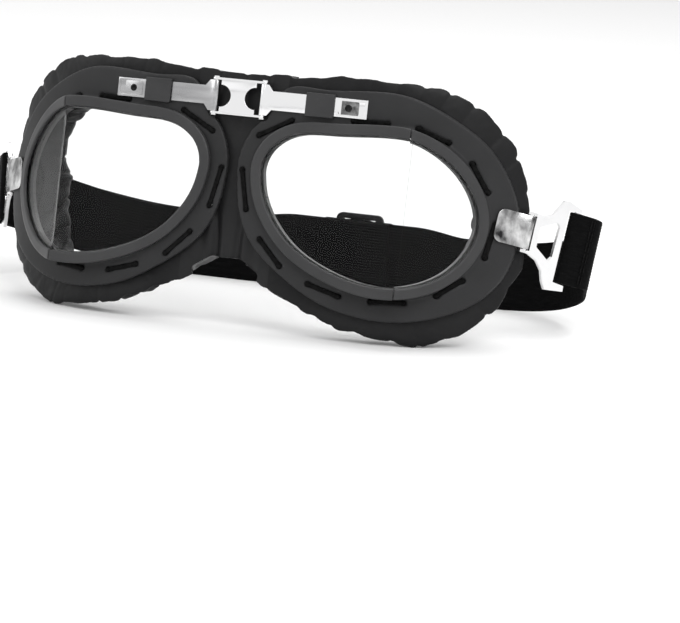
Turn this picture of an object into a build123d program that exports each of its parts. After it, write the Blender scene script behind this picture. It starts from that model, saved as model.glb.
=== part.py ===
from build123d import *
from math import cos, radians, sin, tan
import os

# Aviator flying goggles: two moulded eyecups with split clear lenses, joined by a hinged
# metal bridge, lined with a gathered face cushion and held by one-inch elastic webbing.
# Left and right are the wearer's. +X is the wearer's left, the lenses face -Y, and the
# goggles rest on Z = 0. Every left piece is made first and mirrored across X = 0.

# Driving dimensions, in millimetres and degrees

# Lens plane and opening, measured along the bent lens from the nose outwards
lens_lean = 8.5
lens_plane_y = -54.62
lens_plane_z = 50.0
opening_nose = 12.0
opening_width = 83.3
opening_top = 23.8
opening_bottom = 28.6
bend_from_centre = 66.3
bend_angle = 41.0
seam_gap = 0.16

# Rims, panes and gaskets
rim_width = 3.9
rim_cap = 1.2
rim_skirt_width = 2.2
rim_depth = 2.3
rim_round = 0.5
pane_overlap = 1.4
pane_thickness = 1.0
gasket_width = 1.0
gasket_depth = 2.4
piece_gap = 0.1

# Moulded eyecup flange
flange_nose = 10.0
flange_top = 15.5
flange_bottom = 11.7
flange_outer = 10.4
flange_thickness = 2.2
flange_sweep = 29.6
neck_width = 3.3
neck_start = 0.6
hinge_pocket_side = 11.4
hinge_pocket_bottom = 25.3

# Stitches round each lens
stitch_width = 1.5
stitch_proud = 0.35
stitch_sunk = 0.75
groove_gap = 0.2
stitch_hole_radius = 0.95

# Bridge
bridge_height = 32.4
pin_from_centre = 9.2
pin_depth = 2.6
pin_radius = 0.7
pin_head_radius = 1.15
pin_head_height = 0.5
link_height = 12.8
link_lug_thickness = 0.8
link_lug_front = 0.9
link_lug_back = 4.0
link_lug_end = 1.25
link_plate_thickness = 0.9
link_half_width = 6.7
link_cutout_radius = 3.9
link_waist = 5.4
knuckle_radius = 1.35
knuckle_bore_gap = 0.05
knuckle_end_gap = 0.15
arm_width = 6.6
arm_thickness = 0.8
arm_lift = 0.15
arm_end = 47.8
arm_shoulder = 3.7
arm_head_chamfer = 1.7
arm_panel_start = 38.6
arm_panel_border = 0.9
arm_panel_depth = 0.15
sleeve_start = 25.8
sleeve_length = 10.4
sleeve_height = 8.4
sleeve_wall = 0.8
rivet_from_centre = 41.0
rivet_head_radius = 1.25
rivet_head_height = 0.55
rivet_shank_radius = 0.8

# Face cushion
cushion_width = 17.0
cushion_nose_width = 13.0
cushion_depth = 12.5
cushion_gap = 0.75
cushion_crease = 1.0
cushion_nose_end = 17.5
cushion_top_margin = 10.8
cushion_bottom_margin = 10.2
cushion_outer_margin = 7.2

# Nose pieces
nose_top = 43.4
nose_height = 72.0
nose_half_width = 16.8
saddle_back = 2.7
saddle_thickness = 2.3
panel_thickness = 9.5
panel_inset = 0.4
panel_round = 1.6
nose_corner = 1.2

# Side tab and strap clip
tab_height_on_face = -2.6
tab_mid_inset = 2.6
tab_roll = 8.0
tab_leaf = 5.8
tab_grip = 4.0
tab_turn = 5.75
tab_width = 11.8
tab_thickness = 0.6
tab_lift = 0.45
tab_back_depth = 1.4
tab_corner = 2.8
tab_recess = 0.95
tab_knuckle_radius = 1.55
tab_knuckle_bore = 0.95
tab_knuckle = 7.4
tab_knuckle_sink = 0.3
clip_swing = 15.0
clip_thickness = 1.2
clip_bar_radius = 0.8
clip_ear_width = 1.1
clip_ear_gap = 0.3
clip_ear_reach = 2.0
clip_body_start = 2.1
clip_length = 19.6
clip_height = 32.4
clip_foot = 17.8

# Webbing
webbing_width = 25.4
webbing_thickness = 1.3
webbing_gap = 0.25
strap_on_hook = 1.4
loop_centre = 19.45
loop_half = 1.4
loop_end = 28.0
sewn_start = 25.3
hook_clear = 22.0
strap_back_y = 53.98
strap_straight_end = 60.0
strap_lift = 2.3
strap_lift_start = 24.0
strap_lift_run = 20.0
curl_steps = 24
sewing_thread = 0.5
sewing_length = 3.2
sewing_proud = 0.2
sewing_pitch = 4.0
sewing_rows = 2
sewing_columns = 6

# Slider
slider_x = 8.4
slider_length = 19.0
slider_thickness = 1.6
slider_bar = 3.0
slider_rail = 2.1
slider_clearance = 0.4
slider_height = webbing_width + slider_clearance + 2 * slider_rail
slider_corner = 2.5
wrap_tail = 13.5
wrap_foot = 5.6
wrap_shoulder = 2.2
wrap_rise = 3.3

# Outlines, as shares of the sizes that they follow
opening_shares = [
    (0.000, 0.660), (0.031, 0.842), (0.120, 0.945), (0.300, 0.979), (0.528, 1.000),
    (0.672, 0.985), (0.810, 0.901), (0.936, 0.733), (1.000, 0.479), (0.954, 0.269),
    (0.840, 0.101), (0.660, 0.008), (0.558, 0.000), (0.336, 0.076), (0.168, 0.216),
    (0.054, 0.416),
]
flange_shares = [
    (0.000, 0.590), (0.014, 0.710), (0.058, 0.802), (0.112, 0.872), (0.142, 0.955),
    (0.190, 0.986), (0.274, 0.986), (0.510, 1.000), (0.613, 0.991), (0.691, 0.960),
    (0.757, 0.921), (0.821, 0.873), (0.882, 0.812), (0.929, 0.735), (0.963, 0.656),
    (0.989, 0.556), (1.000, 0.456), (0.994, 0.377), (0.973, 0.268), (0.917, 0.153),
    (0.818, 0.064), (0.725, 0.021), (0.570, 0.000), (0.491, 0.010), (0.377, 0.044),
    (0.258, 0.116), (0.151, 0.204), (0.076, 0.291), (0.023, 0.418),
]
sheet_shares = [
    (-0.07, 0.000), (0.00, 0.000), (0.12, 0.000), (0.24, 0.000), (0.30, 0.012),
    (0.36, 0.033), (0.42, 0.061), (0.55, 0.139),
    (0.66, 0.257), (0.81, 0.510), (0.935, 0.797), (1.02, 1.068), (1.08, 1.340),
]
cushion_shares = [
    (0.000, 1.000), (0.212, 1.000), (0.476, 0.997), (0.683, 0.958), (0.841, 0.865),
    (0.951, 0.709), (1.000, 0.494), (0.968, 0.280), (0.873, 0.124), (0.729, 0.033),
    (0.537, 0.000), (0.343, 0.025), (0.160, 0.098), (-0.022, 0.198),
]
stitch_shares = [
    ((0.072, 0.757), (0.194, 0.835)), ((0.425, 0.861), (0.547, 0.863)),
    ((0.654, 0.857), (0.756, 0.810)), ((0.839, 0.731), (0.896, 0.613)),
    ((0.930, 0.480), (0.908, 0.328)), ((0.847, 0.217), (0.771, 0.139)),
    ((0.668, 0.094), (0.555, 0.083)), ((0.438, 0.090), (0.321, 0.129)),
    ((0.206, 0.193), (0.118, 0.301)), ((0.052, 0.426), (0.021, 0.598)),
]
section_shares = [
    (0.500, 0.300), (0.420, 0.740), (0.180, 0.980), (-0.140, 0.970), (-0.400, 0.700),
    (-0.490, 0.280),
]
nose_taper_share = 0.16
nose_shares = [
    (0.357, 1.000), (1.000, 0.999), (1.000, 0.779), (0.744, 0.724), (0.488, 0.640),
    (0.411, 0.508), (0.411, 0.328), (0.429, 0.286), (0.625, 0.224), (1.125, 0.150),
    (0.726, 0.000), (0.357, 0.057),
]
clip_shares = [
    (0.000, 0.775), (0.189, 0.772), (0.362, 0.815), (0.485, 0.926), (0.551, 0.994),
    (0.673, 1.000), (1.000, 0.948), (1.000, 0.130), (0.878, 0.130), (0.878, 0.907),
    (0.704, 0.907), (0.704, 0.105), (0.974, 0.093), (0.985, 0.031), (0.556, 0.000),
    (0.454, 0.080), (0.383, 0.185), (0.219, 0.278), (0.000, 0.324),
]
clip_hole_shares = [
    (0.128, 0.642), (0.510, 0.741), (0.577, 0.704), (0.551, 0.364), (0.480, 0.309),
    (0.143, 0.420),
]
curl_shares = [
    (1.006, 0.790, 0.840), (0.952, 0.557, 0.620), (0.829, 0.338, 0.400),
    (0.626, 0.149, 0.200), (0.368, 0.040, 0.060),
]
inner_curl_shares = [
    (0.965, 0.790, 0.820), (0.865, 0.540, 0.570), (0.705, 0.300, 0.320),
    (0.500, 0.120, 0.120), (0.270, 0.030, 0.030),
]
sheet_steps = 24
outline_steps = 48
crease_shares = [
    0.000, 0.062, 0.118, 0.172, 0.238, 0.284, 0.352, 0.402, 0.462, 0.512, 0.568,
    0.634, 0.684, 0.748, 0.806, 0.866, 0.926, 1.000,
]

mirror_plane = Plane.YZ
lean = radians(lens_lean)
bend = radians(bend_angle)
face = Plane(
    origin=(0, lens_plane_y, lens_plane_z), x_dir=(1, 0, 0), z_dir=(0, -cos(lean), sin(lean))
)
# Sketches on this plane have the distance from the nose as X and the depth behind the
# lens plane as Y, and grow up and down the face.
profile = Plane(origin=face.origin, x_dir=face.x_dir, z_dir=face.y_dir)
forward = face.z_dir
across = face.x_dir
upward = face.y_dir
side_across = across * cos(bend) - forward * sin(bend)
side_forward = across * sin(bend) + forward * cos(bend)
bend_point = face.from_local_coords((bend_from_centre, 0, 0))
side = Plane(
    origin=bend_point - side_across * bend_from_centre, x_dir=side_across, z_dir=side_forward
)
mitre = Plane(origin=bend_point, x_dir=upward, z_dir=across + side_across)
opening_height = opening_top + opening_bottom
reach = 2 * opening_width


def along_nose(run):
    """Distance from the nose, seen from the front, of a place along the bent lens."""
    if run < bend_from_centre:
        return run
    return bend_from_centre + (run - bend_from_centre) * cos(bend)


def grown(points, margin):
    """Points along a smooth closed outline, moved outwards by a margin."""
    base = Spline(*points, periodic=True, mode=Mode.PRIVATE)
    shares = [t / outline_steps for t in range(outline_steps)]
    return [
        base.position_at(t) + base.tangent_at(t).rotate(Axis.Z, 90) * margin for t in shares
    ]


def outline(points, margin=0.0):
    """A closed smooth outline through the points, grown outwards by a margin."""
    with BuildSketch() as shape:
        with BuildLine():
            Spline(*grown(points, margin), periodic=True)
        make_face()
    return shape.sketch


opening_run = [
    (opening_nose + x * opening_width, -opening_bottom + y * opening_height)
    for x, y in opening_shares
]
opening_front = [(along_nose(x), y) for x, y in opening_run]
opening_outer = along_nose(opening_nose + opening_width)

flange_start = opening_nose - flange_nose
flange_width = opening_outer + flange_outer - flange_start
flange_low = -opening_bottom - flange_bottom
flange_height = opening_top + flange_top - flange_low
flange_outline = outline(
    [(flange_start + x * flange_width, flange_low + y * flange_height) for x, y in flange_shares]
)

seat = rim_depth + piece_gap
sheet_points = [
    (flange_start + x * flange_width, seat + y * flange_sweep) for x, y in sheet_shares
]
with BuildLine() as sheet_line:
    Spline(*sheet_points, tangents=((1, 0), (sheet_points[-1][0] - sheet_points[-2][0],
                                             sheet_points[-1][1] - sheet_points[-2][1])))
sheet = sheet_line.line.edges()[0]


def save(name, piece):
    """Label a finished piece and write it under its own name."""
    piece.label = name
    export_step(piece, f"parts/{name}.step")


def save_pair(name, piece):
    """Write the wearer's left piece and its mirror image."""
    save(f"{name}_left", piece)
    with BuildPart() as other:
        mirror(piece, about=mirror_plane)
    save(f"{name}_right", other.part)


os.makedirs("parts", exist_ok=True)

# Rims: a cap over the pane's edge and a skirt outside it, mitred where the lens bends
rim_outer = outline(opening_run, rim_width)
rim_inner = outline(opening_run)
skirt_inner = outline(opening_run, rim_width - rim_skirt_width)
front_mitre = mitre.offset(-seam_gap / 2)
side_mitre = mitre.offset(seam_gap / 2)


def rim_on(plane, cut, away):
    """One part of the rim, on its own plane and trimmed at the bend."""
    with BuildPart() as rim:
        with BuildSketch(plane.offset(-rim_depth)):
            add(rim_outer)
            add(skirt_inner, mode=Mode.SUBTRACT)
        extrude(amount=rim_depth)
        with BuildSketch(plane.offset(-rim_cap)):
            add(rim_outer)
            add(rim_inner, mode=Mode.SUBTRACT)
        extrude(amount=rim_cap)
        front_edges = rim.edges().filter_by_position(
            Axis(plane.origin, plane.z_dir), -piece_gap, piece_gap
        )
        fillet(front_edges, radius=rim_round)
        with BuildSketch(cut):
            Rectangle(reach, reach)
        extrude(amount=away * reach, mode=Mode.SUBTRACT)
    return rim.part


save_pair("rim_front", rim_on(face, front_mitre, 1))
save_pair("rim_side", rim_on(side, side_mitre, -1))

# Panes: flat clear sheets held between the rim's cap and the eyecup
pane_outline = outline(opening_run, pane_overlap)


def pane_on(plane, cut, away):
    """One flat pane, trimmed at the bend."""
    with BuildPart() as pane:
        with BuildSketch(plane.offset(-rim_cap - piece_gap - pane_thickness)):
            add(pane_outline)
        extrude(amount=pane_thickness)
        with BuildSketch(cut):
            Rectangle(reach, reach)
        extrude(amount=away * reach, mode=Mode.SUBTRACT)
    return pane.part


save_pair("front_pane", pane_on(face, front_mitre, 1))
save_pair("side_pane", pane_on(side, side_mitre, -1))

# Gasket: a rubber lip behind the panes that lines the neck of the eyecup
gasket_outer = outline(opening_run, neck_start - piece_gap)
gasket_inner = outline(opening_run, neck_start - piece_gap - gasket_width)


def gasket_on(plane, cut, away):
    """The gasket's run behind one pane."""
    with BuildPart() as run:
        with BuildSketch(plane.offset(-seat - gasket_depth)):
            add(gasket_outer)
            add(gasket_inner, mode=Mode.SUBTRACT)
        extrude(amount=gasket_depth)
        with BuildSketch(cut):
            Rectangle(reach, reach)
        extrude(amount=away * reach, mode=Mode.SUBTRACT)
    return run.part


with BuildPart() as lens_gasket:
    add(gasket_on(face, mitre, 1))
    add(gasket_on(side, mitre, -1))
save_pair("lens_gasket", lens_gasket.part)

def place_at(from_nose):
    """Where the bent flange lies at a distance from the nose, as a share of its length."""
    low, high = 0.0, 1.0
    for _ in range(40):
        middle = (low + high) / 2
        if sheet.position_at(middle).X < from_nose:
            low = middle
        else:
            high = middle
    return low


def on_face(vector):
    """A direction on the profile plane as a direction in space."""
    return across * vector.X - forward * vector.Y


def sheet_point(from_nose, height, depth=0.0):
    """A point at a depth below the flange's front surface, and the normal there."""
    place = place_at(from_nose)
    normal = sheet.tangent_at(place).rotate(Axis.Z, 90)
    spot = sheet.position_at(place) + normal * depth
    return face.from_local_coords((spot.X, height, -spot.Y)), on_face(normal)


def behind_sheet(depth):
    """Everything behind a surface that follows the flange at a depth below its front."""
    places = [t / sheet_steps for t in range(sheet_steps + 1)]
    near = [
        sheet.position_at(t) + sheet.tangent_at(t).rotate(Axis.Z, 90) * depth for t in places
    ]
    with BuildSketch() as shape:
        with BuildLine():
            top = Spline(*near)
            Polyline(top @ 0, (near[0].X, reach), (near[-1].X, reach), top @ 1)
        make_face()
    return shape.sketch


def layer(front, back):
    """A layer of the bent flange, between two depths below its front surface."""
    with BuildPart() as solid:
        with BuildSketch(profile):
            add(behind_sheet(front))
            add(behind_sheet(back), mode=Mode.SUBTRACT)
        extrude(amount=reach, both=True)
    return solid.part


# Eyecup: the bent flange and the neck that carries the rim proud of it
neck_hole = outline(opening_front, neck_start)
neck_outer = outline([(along_nose(p.X), p.Y) for p in grown(opening_run, neck_width)])
side_seat = seat / cos(bend)
seat_corner = bend_from_centre - seat * tan(bend / 2)
seat_end = flange_start + flange_width
with BuildPart() as neck:
    with BuildSketch(profile):
        with BuildLine():
            Polyline(
                (flange_start, seat), (seat_corner, seat),
                (seat_end, side_seat + (seat_end - bend_from_centre) * tan(bend)),
                (seat_end, reach), (flange_start, reach), close=True,
            )
        make_face()
        add(behind_sheet(flange_thickness / 2), mode=Mode.SUBTRACT)
    extrude(amount=reach, both=True)
    with BuildSketch(face):
        add(neck_outer)
        add(neck_hole, mode=Mode.SUBTRACT)
    extrude(amount=reach, both=True, mode=Mode.INTERSECT)


def flange_place(share):
    """A place on the flange from its shares of width and height."""
    return Vector(flange_start + share[0] * flange_width, flange_low + share[1] * flange_height)


def bars(width):
    """A round-ended bar through the face along each stitch."""
    with BuildPart() as group:
        with BuildSketch(face):
            for first, last in stitch_shares:
                start, end = flange_place(first), flange_place(last)
                turn = Vector(1, 0).get_signed_angle(end - start, Vector(0, 0, 1))
                with Locations(Location((start + end) * 0.5, (0, 0, turn))):
                    SlotCenterToCenter((end - start).length, width)
        extrude(amount=reach, both=True)
    return group.part


# Tab frame: tangent to the flange where the tab grips it, with X outwards along the tab,
# Y up its knuckle and Z forwards
tab_spot, tab_back = sheet_point(seat_end - tab_mid_inset, tab_height_on_face)
tab_level = Plane(origin=tab_spot, x_dir=upward.cross(tab_back * -1), z_dir=tab_back * -1)
tab = Plane(tab_level.location * Rotation(0, 0, -tab_roll))
tab_section = Plane(origin=tab.origin, x_dir=tab.x_dir, z_dir=tab.y_dir * -1)
clip_axis = tab.from_local_coords((tab_knuckle, 0, -tab_knuckle_sink))
clip_level = Plane(origin=clip_axis, x_dir=tab.x_dir, z_dir=tab.z_dir)
clip = Plane(clip_level.location * Rotation(0, clip_swing, 0))

# Rivet seat: on the arm, square to the flange
rivet_spot, rivet_back = sheet_point(rivet_from_centre, bridge_height)
rivet_seat = Plane(
    origin=rivet_spot - rivet_back * (arm_lift + arm_thickness - arm_panel_depth + piece_gap / 2),
    x_dir=upward, z_dir=rivet_back * -1,
)
with BuildPart() as eyecup_left:
    with BuildSketch(face):
        add(flange_outline)
    extrude(amount=reach, both=True)
    add(layer(0, flange_thickness), mode=Mode.INTERSECT)
    with BuildSketch(face):
        add(neck_hole)
    extrude(amount=reach, both=True, mode=Mode.SUBTRACT)
    add(neck.part)
    with BuildSketch(face):
        with Locations((0, hinge_pocket_bottom)):
            Rectangle(2 * hinge_pocket_side, flange_height, align=(Align.CENTER, Align.MIN))
    extrude(amount=reach, both=True, mode=Mode.SUBTRACT)
    add(bars(stitch_width + groove_gap) & layer(-flange_thickness, stitch_sunk), mode=Mode.SUBTRACT)
    with BuildSketch(face):
        with Locations(*[flange_place(end) for ends in stitch_shares for end in ends]):
            Circle(stitch_hole_radius)
    extrude(amount=reach, both=True, mode=Mode.SUBTRACT)
    with BuildSketch(rivet_seat):
        Circle(rivet_shank_radius + piece_gap)
    extrude(amount=2 * flange_thickness, both=True, mode=Mode.SUBTRACT)
    with BuildSketch(tab.offset(-flange_thickness + tab_recess)):
        with Locations((-tab_grip - piece_gap, 0)):
            Rectangle(
                flange_width, tab_width + 2 * piece_gap, align=(Align.MIN, Align.CENTER)
            )
    extrude(amount=-flange_thickness, mode=Mode.SUBTRACT)
save_pair("eyecup", eyecup_left.part)

# Stitches: thick thread lying in the grooves round each lens
with BuildPart() as flange_stitches:
    add(bars(stitch_width) & layer(-stitch_proud, stitch_sunk - groove_gap / 2))
save_pair("flange_stitches", flange_stitches.part)

# Bridge link: a plate with two half-round cutouts and folded lugs that hold the pins
lug_level = link_height / 2 - link_lug_thickness / 2
with BuildPart() as bridge_link:
    with BuildSketch(face.offset(-link_lug_front - link_plate_thickness)):
        with Locations((0, bridge_height)):
            Rectangle(2 * link_half_width, link_height)
        with Locations(
            (link_waist / 2 + link_cutout_radius, bridge_height),
            (-link_waist / 2 - link_cutout_radius, bridge_height),
        ):
            Circle(link_cutout_radius, mode=Mode.SUBTRACT)
    extrude(amount=link_plate_thickness)
    for level in (-lug_level, lug_level):
        with BuildSketch(profile.offset(bridge_height + level)):
            with Locations((0, (link_lug_front + link_lug_back) / 2)):
                RectangleRounded(
                    2 * (pin_from_centre + link_lug_end), link_lug_back - link_lug_front,
                    link_lug_end,
                )
            with Locations((pin_from_centre, pin_depth), (-pin_from_centre, pin_depth)):
                Circle(pin_radius, mode=Mode.SUBTRACT)
        extrude(amount=link_lug_thickness / 2, both=True)
save("bridge_link", bridge_link.part)

# Hinge pins: headed at both ends, outside the lugs
with BuildPart() as bridge_pin:
    with BuildSketch(profile.offset(bridge_height)):
        with Locations((pin_from_centre, pin_depth)):
            Circle(pin_radius)
    extrude(amount=link_height / 2 + pin_head_height, both=True)
    for level, growth in ((link_height / 2, 1), (-link_height / 2, -1)):
        with BuildSketch(profile.offset(bridge_height + level)):
            with Locations((pin_from_centre, pin_depth)):
                Circle(pin_head_radius)
        extrude(amount=growth * pin_head_height)
save_pair("bridge_pin", bridge_pin.part)

# Bridge arms: a strip along the flange with a T-shaped head rolled round the pin
knuckle_height = link_height - 2 * link_lug_thickness - 2 * knuckle_end_gap
head_end = pin_from_centre + arm_shoulder
with BuildPart() as bridge_arm_left:
    with BuildSketch(face):
        with BuildLine():
            Polyline(
                (arm_end, bridge_height + arm_width / 2),
                (head_end, bridge_height + arm_width / 2),
                (head_end - arm_head_chamfer, bridge_height + knuckle_height / 2),
                (pin_from_centre, bridge_height + knuckle_height / 2),
                (pin_from_centre, bridge_height - knuckle_height / 2),
                (head_end - arm_head_chamfer, bridge_height - knuckle_height / 2),
                (head_end, bridge_height - arm_width / 2),
                (arm_end, bridge_height - arm_width / 2), close=True,
            )
        make_face()
    extrude(amount=reach, both=True)
    add(layer(-arm_lift - arm_thickness, -arm_lift), mode=Mode.INTERSECT)
    with BuildSketch(profile.offset(bridge_height)):
        with Locations((pin_from_centre, pin_depth)):
            Circle(knuckle_radius)
    extrude(amount=knuckle_height / 2, both=True)
    with BuildSketch(profile.offset(bridge_height)):
        with Locations((pin_from_centre, pin_depth)):
            Circle(pin_radius + knuckle_bore_gap)
    extrude(amount=knuckle_height, both=True, mode=Mode.SUBTRACT)
    with BuildSketch(rivet_seat):
        Circle(rivet_shank_radius + piece_gap)
    extrude(amount=2 * flange_thickness, both=True, mode=Mode.SUBTRACT)
with BuildPart() as arm_panel:
    with BuildSketch(face):
        with Locations((arm_panel_start, bridge_height)):
            Rectangle(
                arm_end - arm_panel_border - arm_panel_start, arm_width - 2 * arm_panel_border,
                align=(Align.MIN, Align.CENTER),
            )
    extrude(amount=reach, both=True)
    add(
        layer(-flange_thickness, arm_panel_depth - arm_lift - arm_thickness),
        mode=Mode.INTERSECT,
    )
with BuildPart() as bridge_arm:
    add(bridge_arm_left.part)
    add(arm_panel.part, mode=Mode.SUBTRACT)
save_pair("bridge_arm", bridge_arm.part)

# Sleeves: moulded loops that hold the arms down on the flange
sleeve_top = arm_lift + arm_thickness + piece_gap + sleeve_wall
with BuildPart() as arm_sleeve:
    with BuildSketch(face):
        with Locations((sleeve_start, bridge_height)):
            Rectangle(sleeve_length, sleeve_height, align=(Align.MIN, Align.CENTER))
    extrude(amount=reach, both=True)
    add(layer(-sleeve_top, 0), mode=Mode.INTERSECT)
with BuildPart() as sleeve_channel:
    with BuildSketch(face):
        with Locations((sleeve_start, bridge_height)):
            Rectangle(4 * sleeve_length, arm_width + 2 * piece_gap)
    extrude(amount=reach, both=True)
    add(layer(sleeve_wall - sleeve_top, flange_thickness), mode=Mode.INTERSECT)
with BuildPart() as arm_sleeve_left:
    add(arm_sleeve.part)
    add(sleeve_channel.part, mode=Mode.SUBTRACT)
save_pair("arm_sleeve", arm_sleeve_left.part)

# Rivets: a domed head on the arm and a shank down through the flange
with BuildPart() as bridge_rivet:
    with BuildSketch(rivet_seat):
        Circle(rivet_head_radius)
    extrude(amount=rivet_head_height)
    fillet(bridge_rivet.edges().sort_by(Axis(rivet_spot, rivet_back * -1))[-1],
           radius=rivet_head_height / 2)
    with BuildSketch(rivet_seat):
        Circle(rivet_shank_radius - piece_gap)
    extrude(amount=-arm_lift - arm_thickness - flange_thickness)
save_pair("bridge_rivet", bridge_rivet.part)

# Face cushion: a gathered tube along a path behind the flange, drawn in at each crease
cushion_left = cushion_nose_end
cushion_span = opening_outer + cushion_outer_margin - cushion_left
cushion_low = -opening_bottom - cushion_bottom_margin
cushion_rise = opening_top + cushion_top_margin - cushion_low
cushion_path = Spline(
    *[(cushion_left + x * cushion_span, cushion_low + y * cushion_rise) for x, y in cushion_shares]
)


def cushion_station(place, fullness):
    """The cushion's section at a share of its path, drawn in where the fullness drops."""
    spot = cushion_path.position_at(place)
    heading = cushion_path.tangent_at(place)
    slope = sheet.tangent_at(place_at(spot.X))
    nose_share = min(1, (spot.X - cushion_left) / cushion_width, (1 - place) / nose_taper_share)
    width = cushion_nose_width + (cushion_width - cushion_nose_width) * max(nose_share, 0)
    width -= cushion_crease * (1 - fullness)
    deep = cushion_depth - cushion_crease * (1 - fullness)
    origin, normal = sheet_point(spot.X, spot.Y, flange_thickness + cushion_gap)
    along = on_face(slope) * (heading.X / slope.X) + upward * heading.Y
    outward = normal.cross(along)
    with BuildSketch(Plane(origin=origin, x_dir=outward, z_dir=outward.cross(normal))) as ring:
        with BuildLine():
            front = Line((-0.36 * width, 0), (0.40 * width, 0))
            Spline(
                front @ 1, *[(x * width, y * deep) for x, y in section_shares], front @ 0,
                tangents=((1, 0), (1, 0)),
            )
        make_face()
    return ring.sketch


stations = [(crease_shares[0], 1)]
for start, end in zip(crease_shares, crease_shares[1:]):
    stations += [((start + end) / 2, 1), (end, 0)]
stations[-1] = (crease_shares[-1], 1)
sections = [cushion_station(place, fullness) for place, fullness in stations]
with BuildPart() as face_cushion:
    for section in sections:
        add(section)
    loft(ruled=True)
    with BuildSketch(Plane.XY):
        Rectangle(2 * reach, 2 * reach)
    extrude(amount=-reach, mode=Mode.SUBTRACT)
save_pair("face_cushion", face_cushion.part)

# Nose pieces: a saddle behind the flanges and a padded panel against the face
def nose_outline(inset):
    """The symmetric outline of the nose pieces, drawn in by an inset."""
    half = [(x * nose_half_width, nose_top - (1 - y) * nose_height) for x, y in nose_shares]
    with BuildSketch() as shape:
        with BuildLine():
            Polyline(*half, *[(-x, y) for x, y in reversed(half)], close=True)
        make_face()
        fillet(shape.vertices(), radius=nose_corner)
        if inset:
            offset(amount=-inset)
    return shape.sketch


with BuildPart() as nose_saddle:
    with BuildSketch(face.offset(-seat - saddle_back - saddle_thickness)):
        add(nose_outline(0))
    extrude(amount=saddle_thickness)
save("nose_saddle", nose_saddle.part)

panel_front = seat + saddle_back + saddle_thickness + piece_gap
with BuildPart() as nose_panel:
    with BuildSketch(face.offset(-panel_front - panel_thickness)):
        add(nose_outline(panel_inset))
    extrude(amount=panel_thickness)
    back_edges = nose_panel.edges().filter_by_position(
        Axis(face.origin, face.z_dir), -panel_front - panel_thickness - piece_gap,
        -panel_front - panel_thickness + piece_gap,
    )
    fillet(back_edges, radius=panel_round)
save("nose_panel", nose_panel.part)

# Side tab: a folded plate that grips the flange's outer end, rolled into a knuckle
tab_front = tab_lift + tab_thickness
tab_rear = tab_back_depth + tab_thickness
with BuildPart() as side_tab:
    with BuildSketch(tab.offset(tab_lift)):
        with Locations((-tab_leaf, 0)):
            Rectangle(tab_leaf + tab_knuckle, tab_width, align=(Align.MIN, Align.CENTER))
    extrude(amount=tab_thickness)
    fillet(
        side_tab.edges().filter_by(Axis(tab.origin, tab.z_dir))
        .group_by(Axis(tab.origin, tab.x_dir))[0], radius=tab_corner,
    )
    with BuildSketch(tab_section):
        with BuildLine():
            Polyline(
                (tab_turn - tab_thickness, tab_front), (tab_turn, tab_front),
                (tab_turn, -tab_rear), (-tab_grip, -tab_rear), (-tab_grip, -tab_back_depth),
                (tab_turn - tab_thickness, -tab_back_depth), close=True,
            )
        make_face()
        with Locations((tab_knuckle, -tab_knuckle_sink)):
            Circle(tab_knuckle_radius)
    extrude(amount=tab_width / 2, both=True)
    with BuildSketch(tab_section):
        with Locations((tab_knuckle, -tab_knuckle_sink)):
            Circle(tab_knuckle_bore)
    extrude(amount=tab_width, both=True, mode=Mode.SUBTRACT)
save_pair("side_tab", side_tab.part)

# Strap clip: a pressed plate with an open hook for the webbing and a bar in the knuckle
ear_inner = tab_width / 2 + clip_ear_gap
clip_section = Plane(origin=clip.origin, x_dir=clip.x_dir, z_dir=clip.y_dir * -1)


def clip_points(shares):
    """Points on the clip from their shares of its length and height."""
    return [
        (clip_body_start + x * clip_length, y * clip_height - clip_foot) for x, y in shares
    ]


with BuildPart() as strap_clip:
    with BuildSketch(clip):
        with BuildLine():
            Polyline(*clip_points(clip_shares), close=True)
        make_face()
        with BuildSketch(mode=Mode.SUBTRACT):
            with BuildLine():
                Polyline(*clip_points(clip_hole_shares), close=True)
            make_face()
    extrude(amount=clip_thickness / 2, both=True)
    for level in (-ear_inner - clip_ear_width, ear_inner):
        with BuildSketch(clip):
            with Locations((-clip_ear_reach, level)):
                Rectangle(
                    clip_ear_reach + clip_body_start + clip_thickness, clip_ear_width,
                    align=(Align.MIN, Align.MIN),
                )
        extrude(amount=clip_thickness / 2, both=True)
    with BuildSketch(clip_section):
        Circle(clip_bar_radius)
    extrude(amount=ear_inner + clip_ear_width / 2, both=True)
save_pair("strap_clip", strap_clip.part)

# Webbing round the hooks: sewn to itself on the wearer's left, running free on the right
half_thick = webbing_thickness / 2
hook_path = clip_section.offset(strap_on_hook)
loop_outer = loop_half + half_thick
loop_inner = loop_half - half_thick
with BuildPart() as hook_turn:
    with BuildSketch(hook_path):
        with Locations((loop_centre, 0)):
            Rectangle(loop_end - loop_centre, 2 * loop_outer, align=(Align.MIN, Align.CENTER))
            Circle(loop_outer)
            Rectangle(
                loop_end - loop_centre, 2 * loop_inner, align=(Align.MIN, Align.CENTER),
                mode=Mode.SUBTRACT,
            )
            Circle(loop_inner, mode=Mode.SUBTRACT)
    extrude(amount=webbing_width / 2, both=True)
with BuildPart() as strap_hook_turn:
    mirror(hook_turn.part, about=mirror_plane)
save("strap_hook_turn_right", strap_hook_turn.part)

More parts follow.
